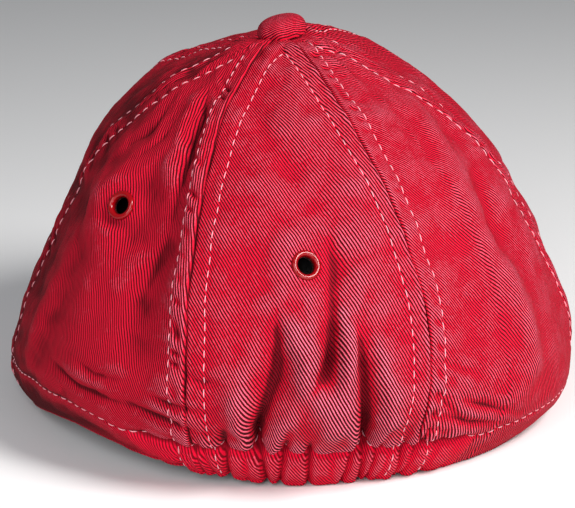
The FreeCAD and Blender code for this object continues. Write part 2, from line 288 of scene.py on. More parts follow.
# ---- folds of the cloth
# Each fold is a line of (bearing, height in mm, depth in mm, half width in mm): out is positive.
SOFT_FOLDS = [
    [(-31, 96, -1.4, 6), (-31.5, 84, -3.0, 7.5), (-34.6, 72, -4.2, 9), (-36.5, 61, -4.6, 10),
     (-36, 52, -3.8, 10), (-33, 41, -1.6, 9)],
    [(-29, 100, 0.4, 4), (-27, 80, 1.4, 5), (-26, 60, 2.0, 6), (-26, 40, 1.4, 6)],
    [(-58, 96, 0.6, 8), (-52, 80, 1.6, 9), (-53, 62, 1.8, 9), (-54, 48, 0.8, 9)],
    [(-66, 88, 1.0, 8), (-67, 64, 2.6, 9), (-69, 44, 3.6, 9), (-71, 26, 2.2, 8)],
    [(-50, 40, 0.4, 10), (-50, 30, 1.4, 11), (-48, 20, 0.4, 8)],
    [(53, 107, 0.8, 6), (44, 90, 2.0, 7), (44.4, 72, 3.0, 8), (46.7, 60, 3.6, 8), (48.3, 47, 3.4, 8),
     (49, 36, 2.2, 8), (46, 27, 0.8, 7)],
    [(58, 98, -0.8, 7), (55, 86, -3.0, 7), (53, 76, -3.0, 7.5), (56, 66, -1.4, 8)],
    [(30, 92, -0.4, 7), (32, 74, -1.4, 8), (33, 56, -1.4, 8), (32, 42, -0.4, 7)],
    [(-16.9, 114, -0.5, 4), (-9.2, 109, -1.6, 4.5), (-3.1, 103, -1.9, 5), (2, 96, -0.8, 6)],
    [(-9.4, 70, 0.6, 6), (-6.0, 65, 1.6, 5.5), (-3.0, 57, 3.4, 5), (-1.4, 51, 4.4, 5), (0, 43, 4.8, 5.2),
     (1.9, 36, 4.2, 5.5), (4.3, 30, 2.6, 6)],
    [(5.6, 67, 0.6, 3.4), (6.0, 61, 2.4, 3.5), (6.4, 55, 4.2, 3.8), (6.5, 48, 4.8, 4), (6.4, 42, 4.8, 4.5),
     (5.8, 36, 4.0, 5), (4.6, 30, 2.0, 5)],
    [(-2, 27, 0.8, 6), (3.5, 25, 2.0, 6.5), (8, 27, 0.8, 5)],
    [(12.4, 60, 0.4, 5), (14, 48, 2.0, 6), (15, 37, 3.2, 6), (15.2, 28, 3.0, 5), (15, 22, 1.2, 4)],
    [(-15, 52, 0.6, 6), (-14, 42, 2.0, 6), (-13.2, 34, 3.2, 5.5), (-13, 27, 3.0, 5), (-12.6, 21, 1.2, 4)],
    [(-19, 96, 0.4, 5), (-17.5, 80, 1.0, 6), (-17, 64, 0.8, 6)],
    [(14, 96, 0.4, 6), (14.5, 80, 1.2, 7), (15, 66, 0.8, 6)],
    [(150, 70, -0.5, 15), (158, 50, -1.4, 16)],
    [(-152, 70, -0.4, 15), (-158, 48, -1.2, 16)],
    [(118, 60, -0.4, 14), (122, 36, -1.6, 14), (128, 22, -0.6, 12)],
    [(-120, 62, -0.4, 14), (-122, 38, -1.6, 14), (-128, 24, -0.6, 12)],
]
SHARP_FOLDS = [
    [(5.4, 84, -1, 5), (5, 72, -2.6, 4.6), (4.6, 64, -4, 4), (4.4, 57, -6.2, 3.5), (3.8, 50, -7.6, 3.2),
     (2.6, 45, -6.4, 3), (0.8, 41, -2, 3), (-0.6, 38, -0.4, 3)],
    [(-6.2, 64, -0.6, 2.8), (-5.8, 56, -2.8, 3.4), (-5.9, 49, -4.6, 4.2), (-6.8, 41, -5.2, 4.8),
     (-8, 34, -6.2, 4.4), (-9, 27, -7.2, 3.4), (-9.6, 20, -7.4, 2.5), (-9.8, 14, -4, 2)],
    [(8.6, 61, -0.6, 2.6), (9.2, 52, -3, 3), (9.6, 46, -4.8, 3.2), (9.9, 40, -5.8, 3.4),
     (10.3, 34, -6.4, 3.4), (10.9, 27, -7.4, 3), (11.6, 20, -7.4, 2.5), (12, 14, -4, 2)],
    [(-45, 119, -0.6, 2.6), (-38.5, 114, -3.0, 3.0), (-36.4, 107, -3.8, 3.4), (-34.6, 98, -3.0, 4.2),
     (-34.0, 88, -1.8, 5), (-35.6, 76, -1.4, 5.4), (-37, 62, -0.8, 5)],
    [(-62, 115, -0.5, 2), (-60.2, 108, -1.6, 2.3), (-65.6, 101, -0.4, 2.3)],
    [(-49, 113, -0.3, 1.8), (-50, 106, -1.0, 2.0), (-56, 98, -0.3, 2.2)],
    [(-24, 44, -0.2, 1.8), (-20, 41, -1.0, 1.8), (-16, 42, -0.2, 1.8)],
    [(-32, 33, -0.2, 1.6), (-25, 31, -1.6, 1.8), (-18, 30, -0.3, 1.6)],
    [(-38, 27, -0.2, 1.8), (-28, 24, -1.8, 2.0), (-19, 22, -0.4, 1.8)],
    [(-60, 30, -0.2, 2), (-48, 25, -1.7, 2.3), (-35, 25, -0.4, 2)],
    [(-52, 37, -0.2, 2), (-44, 33, -1.1, 2.2), (-36, 35, -0.2, 2)],
    [(27, 32, -0.2, 1.6), (36, 25, -1.5, 2.0), (48, 17, -0.4, 2)],
    [(24, 27, -0.4, 1.6), (33, 20, -1.4, 2.0), (44, 16, -0.3, 1.8)],
    [(20, 37, -0.2, 1.8), (26, 30, -1.5, 2.0), (31, 22, -0.3, 1.8)],
    [(22, 46, -0.2, 1.8), (29, 41, -0.9, 2.0), (37, 34, -0.2, 1.8)],
]

# Pleats where the back is gathered onto its elastic: bearing, depth, half width, height that they reach.
PLEATS = [(-33.0, 1.2, 1.1, 5), (-26.5, 1.6, 0.9, 7), (-21.2, 2.4, 0.8, 9), (-16.4, 4.6, 0.7, 11),
          (-12.6, 1.4, 0.6, 7), (-9.6, 5.6, 0.8, 16), (-4.6, 5.0, 0.7, 10), (0.5, 5.2, 0.7, 9),
          (5.4, 0.9, 0.7, 5), (9.6, 4.6, 0.6, 8), (11.9, 5.4, 0.8, 16), (14.7, 4.4, 0.6, 10),
          (17.4, 1.2, 0.6, 6), (20.0, 4.0, 0.7, 10), (23.4, 3.8, 0.8, 9), (28.0, 1.8, 1.0, 6),
          (33.0, 1.2, 1.1, 5)]


def reach_at(height):
    """The crown's usual reach at a height, for turning bearings into lengths."""
    return np.interp(height, [0, 20, 50, 80, 105, 125, 137], [84, 98, 100, 90, 72, 42, 4])


def fold_height(line, bearing, height, sharp):
    """Height of one fold over the cloth at these places."""
    px, py = np.radians(bearing) * reach_at(height), height
    best = np.full(px.shape, 1e9)
    result = np.zeros(px.shape)
    for (b0, z0, d0, w0), (b1, z1, d1, w1) in zip(line, line[1:]):
        ax, ay = math.radians(b0) * reach_at(z0), z0
        bx, by = math.radians(b1) * reach_at(z1), z1
        t = ((px - ax) * (bx - ax) + (py - ay) * (by - ay)) / ((bx - ax) ** 2 + (by - ay) ** 2)
        t = np.clip(t, 0.0, 1.0)
        away = np.hypot(px - ax - t * (bx - ax), py - ay - t * (by - ay))
        ease = smooth(t)
        depth, q = d0 + (d1 - d0) * ease, away / (w0 + (w1 - w0) * ease)
        shape = 1.0 / (1.0 + 1.2 * q ** 1.6) ** 2.0 - 0.22 * bump((q - 1.9) / 0.7) if sharp else bump(q)
        nearer = q < best
        result = np.where(nearer, depth * shape, result)
        best = np.minimum(best, q)
    return result


def pleat_height(bearing, s):
    """Gathers round the casing's stitch line, which draws the cloth in."""
    total = np.zeros(bearing.shape)
    up = np.maximum(s - HEM, 0.0)
    for k, (middle, depth, width, reach) in enumerate(PLEATS):
        lean = 0.9 * math.sin(2.3 * k)
        q = (bearing - middle - lean * (s - HEM) / 14.0) / (width * (1.0 + up / 11.0))
        fade = np.where(s > HEM, bump(up / reach), 0.66 + 0.34 * bump((s - HEM) / 6.0))
        total -= 0.85 * depth * fade / (1.0 + q * q) ** 1.5
    window = smooth((CASING_BEARING + 2.0 - np.abs(bearing)) / 9.0)
    line = -3.0 * bump((s - HEM) / 2.2) - 1.0 * bump((s - 1.0) / 2.0)
    puff = 1.2 * bump((s - HEM / 2.0) / 4.8)
    return window * (total + line + puff + 1.2 * bump(up / 8.0))


# How each seam has settled: its lip's height, the side of the lip, the depth of the gap, and the side that
# puckers.
SEAM_LOOKS = {"back_left": (0.36, -1.0, 1.4, -1.0), "back_right": (0.34, -1.0, 1.3, 1.0),
              "left": (0.5, 0.0, 0.3, 0.0), "right": (0.5, 0.0, 0.3, 0.0),
              "front_left": (0.3, 0.0, 0.7, 0.0), "front_right": (0.3, 0.0, 0.7, 0.0)}


def along_seam(s, scale, seed):
    """Soft random waves along a seam."""
    return wobble(s, s * 0.0, scale, seed)


def seam_gap(seam, bearing, s):
    """How far a seam has opened, from 0 to 1."""
    uneven = np.clip(0.75 + 0.45 * along_seam(s, 23.0, 80 + SEAMS.index(seam)), 0.25, 1.3)
    return uneven * bump(seam_distance(seam, bearing, s) / 0.48)


def seam_height(seam, bearing, s):
    """A seam pressed open and topstitched each side: its welt, the gap, the lip and the puckers."""
    d = seam_distance(seam, bearing, s)
    lip_height, side, gap, puckers = SEAM_LOOKS[seam]
    near = np.abs(d)
    top = smooth((cloth_length(bearing) - s) / 14.0)
    seed = SEAMS.index(seam)
    welt = 0.5 * smooth((7.2 - near) / 1.6)
    groove = -gap * seam_gap(seam, bearing, s)
    lip = lip_height * (1.0 + 0.5 * along_seam(s, 16.0, 40 + seed))
    lip = lip * bump((side * d - abs(side)) / (1.9 - abs(side)))
    rows = -0.5 * bump((near - ROW_OFFSET) / 0.7)
    turn = 2.0 * math.pi * (s + 0.55 * d) / 7.4
    beat = 0.5 + 0.5 * np.sin(turn + 2.8 * along_seam(s, 19.0, 60 + seed) + 1.7 * np.sign(d))
    strong = np.clip(0.7 + 0.8 * along_seam(s, 37.0, 20 + seed), 0.05, 1.4)
    strong = strong * (1.0 if puckers == 0.0 else 0.15 + 0.85 * smooth(puckers * d / 2.0 + 0.5))
    dimples = -1.15 * strong * beat ** 3 * bump((near - 3.8) / 1.5)
    outside = -0.35 * strong * beat ** 2 * bump((near - 8.6) / 2.2)
    return top * (welt + groove + lip + rows + dimples + outside)


# How far the cloth under each eyelet turns away to the right, as a slope, and how far round it that reaches.
EYELET_SLOPES = {"rear_eyelet": (0.34, 15.0), "left_rear_eyelet": (0.42, 24.0)}
EYELET_SETTLED = np.array([1.1, -0.2, -1.7])
EYELET_PLACES = {name: sum(node_box(name)) / 2.0 + EYELET_SETTLED for name in EYELET_SLOPES}


def near_eyelet(bearing, s):
    """1 at an eyelet and 0 away from it: the cloth is held flat by the eyelet."""
    total = np.zeros(bearing.shape)
    for place in EYELET_PLACES.values():
        away = np.linalg.norm(base_point(bearing, s) - place, axis=-1)
        total = np.maximum(total, smooth((11.0 - away) / 5.5))
    return total


def eyelet_slope(bearing, s):
    total = np.zeros(bearing.shape)
    for name, place in EYELET_PLACES.items():
        offset = base_point(bearing, s) - place
        middle = place - AXIS
        side = np.array([-middle[1], middle[0], 0.0]) / math.hypot(middle[0], middle[1])
        away = np.linalg.norm(offset, axis=-1)
        slope, reach = EYELET_SLOPES[name]
        total -= slope * (offset @ side) * smooth(1.4 * (1.0 - away / reach))
    return total


# How far the hem has ridden up, in millimetres, by bearing.
HEM_LIFTS = [(-180, 0), (-104, 0.5), (-86, 4.6), (-72, 9.0), (-58, 11.6), (-46, 11.0), (-36, 9.4), (-26, 6.8),
             (-17, 4.8), (-10, 2.8), (0, 1.5), (9, 1.0), (18, 2.0), (30, 2.2), (46, 1.8), (62, 2.2),
             (80, 1.0), (92, 0), (180, 0)]


def lifted(bearing, s):
    """Lengths up the cloth, with the hem ridden up."""
    lift = np.interp(signed(bearing), *zip(*HEM_LIFTS))
    return s + lift * smooth(1.0 - s / 60.0)


def tucked(bearing, s):
    """The hem has curled under on the left."""
    return -5.5 * bump((signed(bearing) + 62.0) / 26.0) * smooth(1.0 - s / 28.0)


def sunk(point, bearing):
    """The top of the crown has sunk to the left and front of the button."""
    reach = reach_of(point)
    side = bump(signed(bearing + 151.0) / 42.0)
    return -6.2 * side * smooth((reach - 5.0) / 7.0) * smooth((80.0 - reach) / 30.0)


def cloth_height(bearing, s):
    """How far the cloth stands out from the crown's base surface."""
    point = base_point(bearing, s)
    z = point[..., 2]
    b = signed(bearing)
    x = np.radians(b) * HEM_REACH
    folds = np.zeros(b.shape)
    for line in SOFT_FOLDS:
        folds += fold_height(line, b, z, False)
    for line in SHARP_FOLDS:
        folds += fold_height(line, b, z, True)
    folds *= smooth((s - 3.0) / 9.0)
    hang = 0.55 * wobble(x, s, 34.0, 3) + 0.22 * wobble(x, s, 13.0, 5) + 0.07 * wobble(x, s, 5.0, 8)
    hang *= smooth((178.0 - np.abs(b)) / 20.0)
    height = folds + hang * smooth(s / 10.0) * smooth((cloth_length(bearing) - s) / 20.0)
    height = height * (1.0 - 0.85 * near_eyelet(bearing, s)) + eyelet_slope(bearing, s) + pleat_height(b, s)
    for seam in SEAMS:
        height += seam_height(seam, bearing, s)
    hem_line = -0.5 * bump((s - HEM) / 0.8) * smooth((np.abs(b) - CASING_BEARING) / 3.0)
    return height + hem_line + tucked(bearing, s) + sunk(point, bearing)


def cloth_point(bearing, s, depth=0.0):
    """A point of the finished cloth, depth below its outer face."""
    low = lifted(bearing, s)
    out = (cloth_height(bearing, s) - depth)[..., None]
    point = base_point(bearing, low) + base_normal(bearing, low) * out
    point[..., 2] = np.maximum(point[..., 2], 0.0)
    return point


# ---- meshes
def add_object(name, data):
    thing = bpy.data.objects.new(name, data)
    bpy.context.scene.collection.objects.link(thing)
    return thing


def add_mesh(name, verts, faces, uvs=None, wear_light_and_shade=None):
    """A mesh object from points in millimetres. uvs and wear hold one value for each point."""
    mesh = bpy.data.meshes.new(name)
    mesh.from_pydata((np.asarray(verts) * MM).tolist(), [], faces)
    mesh.update()
    if uvs is not None:
        layer = mesh.uv_layers.new(name="cloth")
        loops = np.zeros(len(mesh.loops), dtype=np.int32)
        mesh.loops.foreach_get("vertex_index", loops)
        layer.data.foreach_set("uv", np.asarray(uvs, dtype=np.float32)[loops].ravel())
    # The per-point value is stored for the twill: abrasion and fading, with painted light and painted shade.
    if wear_light_and_shade is not None:
        attribute = mesh.attributes.new("wear_light_and_shade", "FLOAT", "POINT")
        attribute.data.foreach_set("value", np.asarray(wear_light_and_shade, dtype=np.float32))
    face_out(mesh)
    mesh.polygons.foreach_set("use_smooth", [True] * len(mesh.polygons))
    return add_object(name, mesh)


def face_out(mesh):
    """Turns every face of a closed mesh outwards."""
    work = bmesh.new()
    work.from_mesh(mesh)
    bmesh.ops.recalc_face_normals(work, faces=work.faces)
    work.to_mesh(mesh)
    work.free()


def evened(height, passes):
    for _ in range(passes):
        padded = np.pad(height, 1, mode="edge")
        height = (padded[:-2, 1:-1] + padded[2:, 1:-1] + padded[1:-1, :-2] + padded[1:-1, 2:]) / 4.0
    return height


def worn_and_shaded(height):
    """How far each point of a grid stands out from those around it: cloth pales with abrasion on its high
    places, and the negative values in its folds are used to darken them as painted shade."""
    near = evened(height, 10)
    return np.clip((height - near) * 1.6 + (near - evened(near, 120)) * 0.34, -1.4, 1.0)


def fade_light_and_shade(bearing, s):
    """Paler across the back from fading, and on the right side, partly from fading and partly as painted
    light; darker on the left, most of all low down, as painted shade.
    """
    b = signed(bearing)
    shade_trim = 0.85 * bump((b + 98.0) / 33.0) + 0.7 * bump((b + 70.0) / 34.0) * smooth(1.0 - s / 40.0)
    right = 0.42 * bump((b - 62.0) / 46.0) * (0.45 + 0.55 * smooth(s / 60.0))
    return 0.50 * bump((b - 4.0) / 28.0) + right - 0.36 - shade_trim


def loop_mesh(name, bands, rows, gone=None):
    """A closed sheet from bands of points. Each band is (points, uvs, wear) on rows of the same columns. The
    first rows go down the outer face, the last go up the inner one, and any between roll round the foot."""
    points, uvs, wear_light_and_shade = (np.concatenate(part) for part in zip(*bands))
    loop, columns = points.shape[:2]
    gone = np.zeros((loop, columns), dtype=bool) if gone is None else gone
    faces = []
    for r in range(loop):
        n = (r + 1) % loop
        for c in range(columns - 1):
            if not gone[r, c]:
                faces.append((r * columns + c, n * columns + c, n * columns + c + 1, r * columns + c + 1))
    faces += side_faces(rows, loop, columns)
    faces += hole_walls(gone, rows, loop, columns)
    return add_mesh(name, points.reshape(-1, 3), faces, uvs.reshape(-1, 2), wear_light_and_shade.ravel())


def ribbed(u, v):
    """Cloth coordinates in centimetres: the first across the twill's ribs and the second along them."""
    lean = math.radians(TWILL_LEAN)
    across = u * math.cos(lean) + v * math.sin(lean)
    return np.stack([across, v * math.cos(lean) - u * math.sin(lean)], -1) / 10.0


def cloth_sheet(name, bearing, s, outer, inner, middle, curl=0.0, holes=()):
    """A closed sheet of the crown's cloth on a grid of bearings and lengths: rows run up it, columns across.
    curl is the radius of the roll at the foot, for a hem, and holes are (place, radius)."""
    rows, columns = bearing.shape
    outside = cloth_point(bearing, s, outer)
    inside = cloth_point(bearing, s, inner)
    u = np.radians(signed(bearing - middle)) * reach_of(base_point(bearing, s))
    # A value for each point: positive on high places, which pale from abrasion and fading, with painted light
    # on the right side; negative in folds, on the left and in the seams' gaps, which darkens them as painted
    # shade.
    gaps = sum(SEAM_LOOKS[seam][2] * seam_gap(seam, bearing, s) for seam in SEAMS)
    wear_light_and_shade = worn_and_shaded(cloth_height(bearing, s)) + fade_light_and_shade(bearing, s) - 0.75 * gaps
    bands = [(outside[::-1], ribbed(u, s)[::-1], wear_light_and_shade[::-1])]
    for step in range(1, 6) if curl > 0.0 else ():
        angle = math.pi * step / 6.0
        share = (1.0 - math.cos(angle)) / 2.0
        roll = outside[:1] * (1.0 - share) + inside[:1] * share
        roll = roll - np.array([0.0, 0.0, curl * math.sin(angle)])
        roll[..., 2] = np.maximum(roll[..., 2], 0.0)
        bands.append((roll, ribbed(u[:1], s[:1] - curl * angle), np.full((1, columns), 0.3)))
    bands.append((inside, ribbed(u, -s), np.full((rows, columns), -0.2)))
    loop = sum(len(band[0]) for band in bands)
    gone = np.zeros((loop, columns), dtype=bool)
    middles = (outside[:-1, :-1] + outside[1:, 1:]) / 2.0
    for place, radius in holes:
        for r, c in zip(*np.nonzero(np.linalg.norm(middles - place, axis=-1) < radius)):
            gone[rows - 2 - r, c] = True
            gone[loop - rows + r, c] = True
    return loop_mesh(name, bands, rows, gone)


def side_faces(rows, loop, columns):
    """Faces that close a sheet along its first and last columns."""
    faces = []
    for c, first in ((0, True), (columns - 1, False)):
        for r in range(rows - 1):
            a, b = r * columns + c, (r + 1) * columns + c
            d, e = (loop - 1 - r) * columns + c, (loop - 2 - r) * columns + c
            faces.append((a, d, e, b) if first else (a, b, e, d))
        if loop > 2 * rows:
            fan = [r * columns + c for r in range(rows - 1, loop - rows + 1)]
            faces.append(tuple(reversed(fan)) if not first else tuple(fan))
    return faces


def hole_walls(gone, rows, loop, columns):
    """Faces between the two sides of a sheet round each hole."""
    def pair(row, column):
        return row * columns + column, (loop - 1 - row) * columns + column

    faces = []
    for r, c in zip(*np.nonzero(gone[:rows - 1])):
        sides = [((r - 1, c), (r, c), (r, c + 1)), ((r + 1, c), (r + 1, c + 1), (r + 1, c)),
                 ((r, c - 1), (r + 1, c), (r, c)), ((r, c + 1), (r, c + 1), (r + 1, c + 1))]
        for beyond, start, end in sides:
            if not gone[beyond]:
                (a, d), (b, e) = pair(*start), pair(*end)
                faces.append((b, a, d, e))
    return faces


def tube_faces(rings, sides):
    """Faces between rings of points, each ring with the same number of sides."""
    corners = [(i * sides + k, i * sides + (k + 1) % sides) for i in range(rings - 1) for k in range(sides)]
    return [(a, b, b + sides, a + sides) for a, b in corners]


def lengths_up(low, high, step):
    """Lengths from low to high, about a step apart."""
    return np.linspace(low, high, max(1, round((high - low) / step)) + 1)


def joined(name, pieces):
    """One object from several, under a new name."""
    for o in bpy.context.selected_objects:
        o.select_set(False)
    for o in pieces:
        o.select_set(True)
    bpy.context.view_layer.objects.active = pieces[0]
    if len(pieces) > 1:
        bpy.ops.object.join()
    whole = pieces[0]
    whole.name = whole.data.name = name
    whole.select_set(False)
    return whole


def copies_of(name, shapes):
    """One mesh from (verts, faces) of many small closed shapes."""
    verts, faces, start = [], [], 0
    for v, f in shapes:
        verts.append(v)
        faces += [tuple(i + start for i in face) for face in f]
        start += len(v)
    return add_mesh(name, np.concatenate(verts), faces)


def with_back(piece):
    """Bakes the piece's placing into its mesh; it follows no body."""
    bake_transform(piece)


def dress(piece, material, node, at_back):
    """Gives a piece of the cover its material and hides the node that it replaces; pieces at the back have
    their placing baked in, and the rest follow the cover.
    """
    piece.data.materials.append(material)
    if node:
        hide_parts(node)
    if at_back:
        with_back(piece)
    else:
        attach(piece, "cover")


# ---- crown panels and the casing
def seam_at(k, s):
    """Bearing of seam k at lengths up the cloth."""
    return seam_bearing(SEAMS[k], s / cloth_length(SEAM_GUESS[k])) + np.zeros_like(s)


def panel_grid(k, step):
    """Bearings and lengths over panel k above its hem."""
    before, after = (k - 1) % 6, k
    rows = int(150.0 / step)
    shares = np.linspace(0.0, 1.0, rows)
    starts = HEM + shares * (cloth_length(SEAM_GUESS[before]) - HEM)
    ends = HEM + shares * (cloth_length(SEAM_GUESS[after]) - HEM)
    first, last = seam_at(before, starts), seam_at(after, ends)
    first = first - 360.0 if first[0] > last[0] else first
    columns = int(np.radians(last[10] - first[10]) * 98.0 / step)
    across = np.linspace(0.0, 1.0, columns)
    bearing = first[:, None] + (last - first)[:, None] * across[None, :]
    lengths = cloth_length(bearing)
    return bearing, HEM + shares[:, None] * (lengths - HEM)


def hem_grid(first, last, step):
    columns = max(8, int(math.radians(last - first) * HEM_REACH / step))
    return np.meshgrid(np.linspace(first, last, columns), np.linspace(HEM_THICK / 2.0, HEM, 18))


def make_panels(cloth):
    for k, name in enumerate(PANELS):
        at_back = "rear" in name
        step = 0.75 if at_back else 1.1
        bearing, s = panel_grid(k, step)
        middle = float(bearing[0].mean())
        holes = [(EYELET_SEATS[e][0], 3.9) for e in EYELETS[name]] if name in EYELETS else []
        sheets = [cloth_sheet(name + "_cloth", bearing, s, 0.0, CLOTH, middle, holes=holes)]
        first, last = float(bearing[0, 0]), float(bearing[0, -1])
        if at_back:
            first, last = max(first, CASING_BEARING), min(last, 360.0 - CASING_BEARING)
        if first < last and name != "rear_panel":
            hem = hem_grid(first, last, step)
            sheets.append(cloth_sheet(name + "_hem", *hem, 0.0, HEM_THICK, middle, curl=HEM_THICK / 2.0))
        piece = joined(name + "_cloth", sheets)
        dress(piece, cloth, name, at_back)


def make_casing(cloth):
    bearing, s = hem_grid(-CASING_BEARING, CASING_BEARING, 0.6)
    piece = cloth_sheet("casing_cloth", bearing, s, 0.0, HEM_THICK, 0.0, curl=HEM_THICK / 2.0)
    dress(piece, cloth, "rear_casing", True)


# ---- topstitching
def stitch(points, ups, radius):
    """One stitch of thread: a tapered bead along five points, sunk into the cloth at both ends."""
    sides = 6
    along = unit(np.gradient(points, axis=0))
    side = unit(np.cross(along, ups))
    rise = np.cross(side, along)
    q = np.linspace(-1.0, 1.0, len(points))
    fat = radius * np.sqrt(1.0 - np.square(0.86 * q))
    lift = 0.26 * (1.0 - q ** 4) - 0.10
    verts = []
    for i in range(len(points)):
        centre = points[i] + rise[i] * lift[i]
        for k in range(sides):
            turn = 2.0 * math.pi * k / sides
            verts.append(centre + fat[i] * (math.cos(turn) * side[i] + math.sin(turn) * rise[i]))
    faces = [tuple(range(sides))[::-1], tuple(range(len(verts) - sides, len(verts)))]
    return np.array(verts), faces + tube_faces(len(points), sides)


def stitches_along(line, ups, rng, radius=0.2):
    """Stitches at an even pitch along a closely sampled line."""
    run = run_along(line)
    shapes, at = [], STITCH_PITCH / 2.0
    while at < run[-1] - STITCH_PITCH / 2.0:
        half = STITCH_LENGTH / 2.0 * rng.uniform(0.88, 1.1)
        stops = at + half * np.linspace(-1.0, 1.0, 5) + rng.uniform(-0.2, 0.2)
        shapes.append(stitch(points_at(stops, run, line), points_at(stops, run, ups), radius))
        at += STITCH_PITCH
    return shapes


def surface_line(bearing, s):
    return cloth_point(bearing, s), base_normal(bearing, s)


def make_topstitching(thread):
    rng = random.Random(11)
    back, front = [], []
    for k, seam in enumerate(SEAMS):
        length = float(cloth_length(SEAM_GUESS[k]))
        s = np.arange(3.0, length - 9.0, 0.6)
        middle = seam_at(k, s)
        reach = reach_of(base_point(middle, s))
        for side in (-1.0, 1.0):
            drift = 0.25 * np.sin(s / 17.0 + k + side)
            bearing = middle + np.degrees(side * (ROW_OFFSET + drift) / reach)
            others = [np.abs(seam_distance(other, bearing, s)) for other in SEAMS if other != seam]
            clear = np.min(others, axis=0) > ROW_OFFSET - 0.4
            shapes = stitches_along(*surface_line(bearing[clear], s[clear]), rng)
            (back if seam.startswith("back") or seam in ("left", "right") else front).extend(shapes)
    around = np.arange(-180.0, 180.0, 0.35)
    line = surface_line(around, np.full(around.shape, HEM) + 0.25 * np.sin(np.radians(around) * 14.0))
    back += stitches_along(*line, rng)
    for name, shapes in (("topstitching_back", back), ("topstitching_front", front)):
        dress(copies_of(name, shapes), thread, None, True)


# ---- eyelets
EYELETS = {"rear_panel": ["rear_eyelet"], "left_rear_panel": ["left_rear_eyelet"]}
EYELET_PROFILE = [(3.0, -1.6), (3.0, 0.2), (3.18, 0.62), (3.6, 0.98), (4.1, 1.08), (4.6, 0.88), (4.92, 0.46),
                  (5.0, 0.0), (4.8, -0.25), (3.4, -0.3), (3.3, -1.6)]
CORE_PROFILE = [(0.4, 0.2), (6.4, 0.2), (6.8, 0.5), (6.4, 0.9), (3.5, 1.7), (0.4, 2.1)]
WASHER_PROFILE = [(3.35, -1.25), (4.7, -1.25), (4.9, -1.4), (4.7, -1.6), (3.9, -1.9), (3.1, -2.0),
                  (2.95, -1.75)]


def seat_of(eyelet):
    """Where an eyelet sits on the finished cloth, and the direction that it faces."""
    place = EYELET_PLACES[eyelet]
    offset = place - AXIS
    bearing = np.array([math.degrees(math.atan2(offset[0], -offset[1]))])
    lengths = np.linspace(20.0, 120.0, 401)
    near = np.linalg.norm(base_point(np.full(401, bearing[0]), lengths) - place, axis=1)
    s = np.array([lengths[near.argmin()]])
    step = 4.0
    wide = np.array([math.degrees(step / 90.0)])
    across = cloth_point(bearing + wide, s)[0] - cloth_point(bearing - wide, s)[0]
    up = cloth_point(bearing, s + step)[0] - cloth_point(bearing, s - step)[0]
    normal = np.cross(across, up)
    return cloth_point(bearing, s)[0], unit(normal)


EYELET_SEATS = {name: seat_of(name) for name in EYELET_PLACES}


def turned(profile, centre, axis, sides):
    """Points and faces of an outline of (radius, height) turned about an axis."""
    axis = Vector(axis).normalized()
    side = axis.orthogonal().normalized()
    other = axis.cross(side)
    verts, faces = [], []
    count = len(profile)
    for k in range(sides):
        turn = 2.0 * math.pi * k / sides
        out = np.array(side * math.cos(turn) + other * math.sin(turn))
        verts += [centre + out * r + np.array(axis) * h for r, h in profile]
    for k in range(sides):
        n = (k + 1) % sides
        for i in range(count):
            j = (i + 1) % count
            faces.append((k * count + i, n * count + i, n * count + j, k * count + j))
    return np.array(verts), faces


def make_eyelets(enamel, metal):
    for name, (place, normal) in EYELET_SEATS.items():
        for node, profile, finish, slot in ((name, EYELET_PROFILE, enamel, "eyelet_enamel"),
                                            (name + "_washer", WASHER_PROFILE, metal, "bare_metal")):
            piece = add_mesh(node + "_ring", *turned(profile, place, normal, 56))
            dress(piece, finish, node, True)


# ---- covered button
def make_button(cloth):
    """Twill pulled over a flat dome: shallow pleats round its rim, and its left side settled lower."""
    low, high = node_box("button_cover")
    radius, sides, rings = (high - low)[0] / 2.0, 96, 34
    foot = np.array([AXIS[0] - 0.3, AXIS[1], low[2] + 0.9])
    height = high[2] - foot[2] - 0.6
    tilt = math.radians(13.0)
    verts, uvs, wear_light_and_shade = [], [], []
    for i in range(rings):
        a = math.pi / 2.0 * (1.3 * i / (rings - 1) - 0.3)
        for k in range(sides):
            turn = 2.0 * math.pi * k / sides
            pleat = 0.22 * math.sin(9.0 * turn + 1.3 * math.sin(turn)) * max(0.0, math.cos(a)) ** 3
            r = (radius + pleat - 0.2) * max(0.0, math.cos(a)) ** 0.62
            z = height * math.copysign(abs(math.sin(a)) ** 0.95, a)
            x, y = r * math.cos(turn), r * math.sin(turn)
            x, z = x * math.cos(tilt) - z * math.sin(tilt), z * math.cos(tilt) + x * math.sin(tilt)
            verts.append(foot + np.array([x, y, z]))
            uvs.append((0.11 * math.hypot(x + 4.5, y - 7.5) - 0.1 * z, 0.1 * turn * radius))
            # The button's top pales from abrasion; its underside is darkened as painted shade.
            wear_light_and_shade.append(0.35 * max(0.0, math.sin(a)) - 0.1 - 1.1 * max(0.0, -math.sin(a)))
    faces = tube_faces(rings, sides) + [tuple(range(sides))[::-1]]
    piece = add_mesh("button_cloth", np.array(verts), faces, np.array(uvs), np.array(wear_light_and_shade))
    dress(piece, cloth, "button_cover", False)


def make_button_core(metal):
    """The dished disc under the button's cloth, set low enough to stay under it."""
    low, _ = node_box("button_cover")
    foot = np.array([AXIS[0], AXIS[1], low[2] + 0.6])
    piece = add_mesh("button_core_disc", *turned(CORE_PROFILE, foot, (0.0, 0.0, 1.0), 48))
    dress(piece, metal, "button_core", False)


# ---- peak
PEAK_HALF = 50.0
PEAK_TUCK = 3.0
PEAK_CORNER = 5.0
PEAK_LOW, PEAK_HIGH = node_box("peak_top_cover")
PEAK_THICK = 3.6
PEAK_ROUND = 2.2            # radius of its edge
PEAK_TIP_Z = 17.0
PEAK_ROW = 7.5              # between its rows of stitching
PEAK_ROWS = 8
PEAK_REACH = 72.0


def peak_length(a, reach):
    """The peak's length at a share of the way to its corners."""
    return PEAK_CORNER + (reach - PEAK_CORNER) * (1.0 - np.abs(a) ** 2.6)


